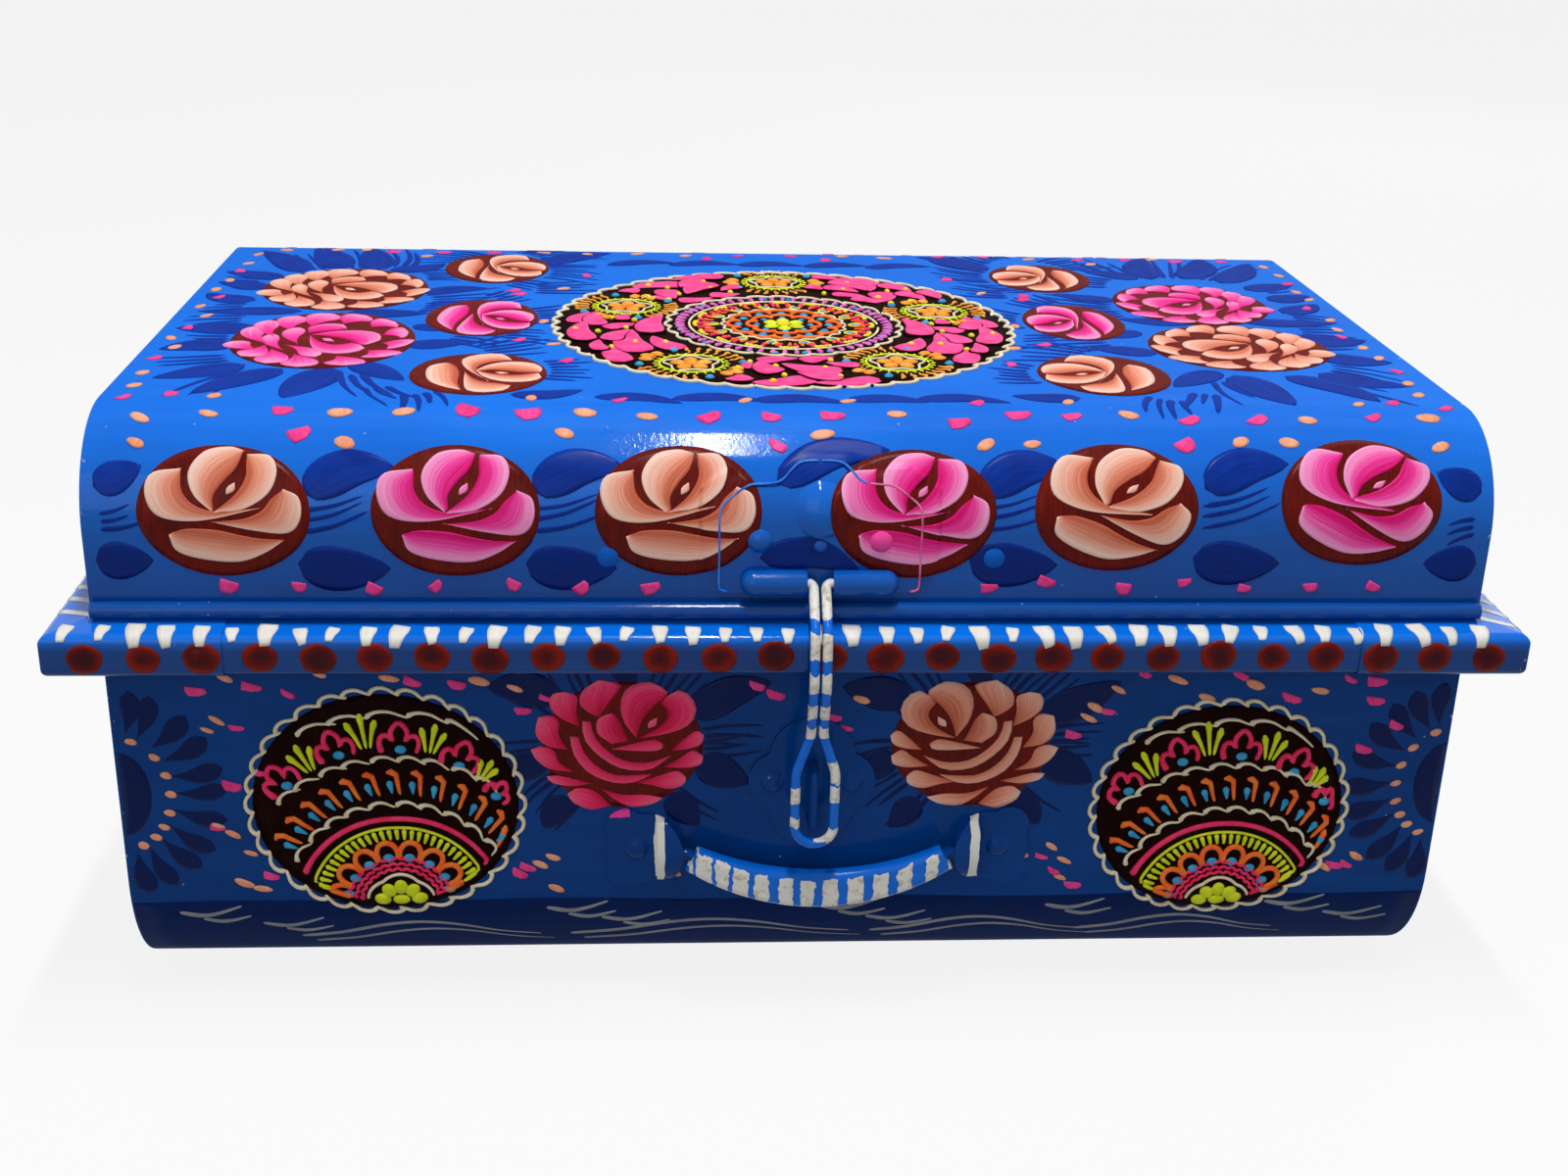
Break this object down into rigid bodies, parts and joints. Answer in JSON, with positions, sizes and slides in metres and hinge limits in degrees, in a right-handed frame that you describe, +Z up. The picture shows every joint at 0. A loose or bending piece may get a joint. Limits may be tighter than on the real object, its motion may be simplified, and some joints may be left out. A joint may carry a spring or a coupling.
{
  "type": "painted metal trunk",
  "caption": "Sheet-metal trunk with a curved-edge lid on two back hinges, a folded ledge round its mouth, a wire hasp with staple, and a drop handle at the front.",
  "frame": {"origin": "centre of the flat base, on the surface that the trunk stands on", "axes": "+Z up, the front with hasp and handle faces -Y, +X to the right seen from the front"},
  "size_m": [0.5638, 0.3819, 0.244],
  "materials": {
    "blue_enamel": "gloss enamel over sheet steel, painted with flowers",
    "painted_wire": "gloss enamel with white bands",
    "striped_enamel": "gloss enamel with white stripes",
    "bare_steel": "bare drawn steel"
  },
  "bodies": {
    "trunk": {"body_wrap": "blue_enamel", "body_end_left": "blue_enamel", "body_end_right": "blue_enamel", "ledge_front": "blue_enamel", "ledge_back": "blue_enamel", "ledge_left": "blue_enamel", "ledge_right": "blue_enamel", "corner_cap_front_left": "blue_enamel", "corner_cap_front_right": "blue_enamel", "corner_cap_back_left": "blue_enamel", "corner_cap_back_right": "blue_enamel", "corner_rivets": "blue_enamel", "staple_plate": "blue_enamel", "staple": "painted_wire", "staple_rivets": "blue_enamel", "handle_bracket_left": "blue_enamel", "handle_bracket_right": "blue_enamel", "handle_rivets": "blue_enamel", "hinge_lower_left": "blue_enamel", "hinge_lower_right": "blue_enamel", "hinge_pin_left": "bare_steel", "hinge_pin_right": "bare_steel", "hinge_lower_rivets": "blue_enamel"},
    "lid": {"lid_wrap": "blue_enamel", "lid_hem_wire": "bare_steel", "lid_end_left": "blue_enamel", "lid_end_right": "blue_enamel", "lid_strap": "blue_enamel", "lid_strap_rivets": "blue_enamel", "hasp_plate": "blue_enamel", "hasp_plate_rivets": "blue_enamel", "hinge_upper_left": "blue_enamel", "hinge_upper_right": "blue_enamel", "hinge_upper_rivets": "blue_enamel"},
    "hasp": {"hasp": "painted_wire"},
    "handle": {"handle_grip": "striped_enamel", "handle_wire": "bare_steel"}
  },
  "joints": [
    {"name": "lid_hinge", "type": "hinge", "parent": "trunk", "child": "lid", "pos_m": [0, 0.1739, 0.17393], "axis": [-1, 0, 0], "range_deg": [0, 110]},
    {"name": "hasp_swing", "type": "hinge", "parent": "lid", "child": "hasp", "pos_m": [0.0067, -0.17318, 0.186], "axis": [-1, 0, 0], "range_deg": [-7.5, 120]},
    {"name": "handle_swing", "type": "hinge", "parent": "trunk", "child": "handle", "pos_m": [0.0102, -0.1734, 0.07], "axis": [-1, 0, 0], "range_deg": [-10, 90]}
  ]
}
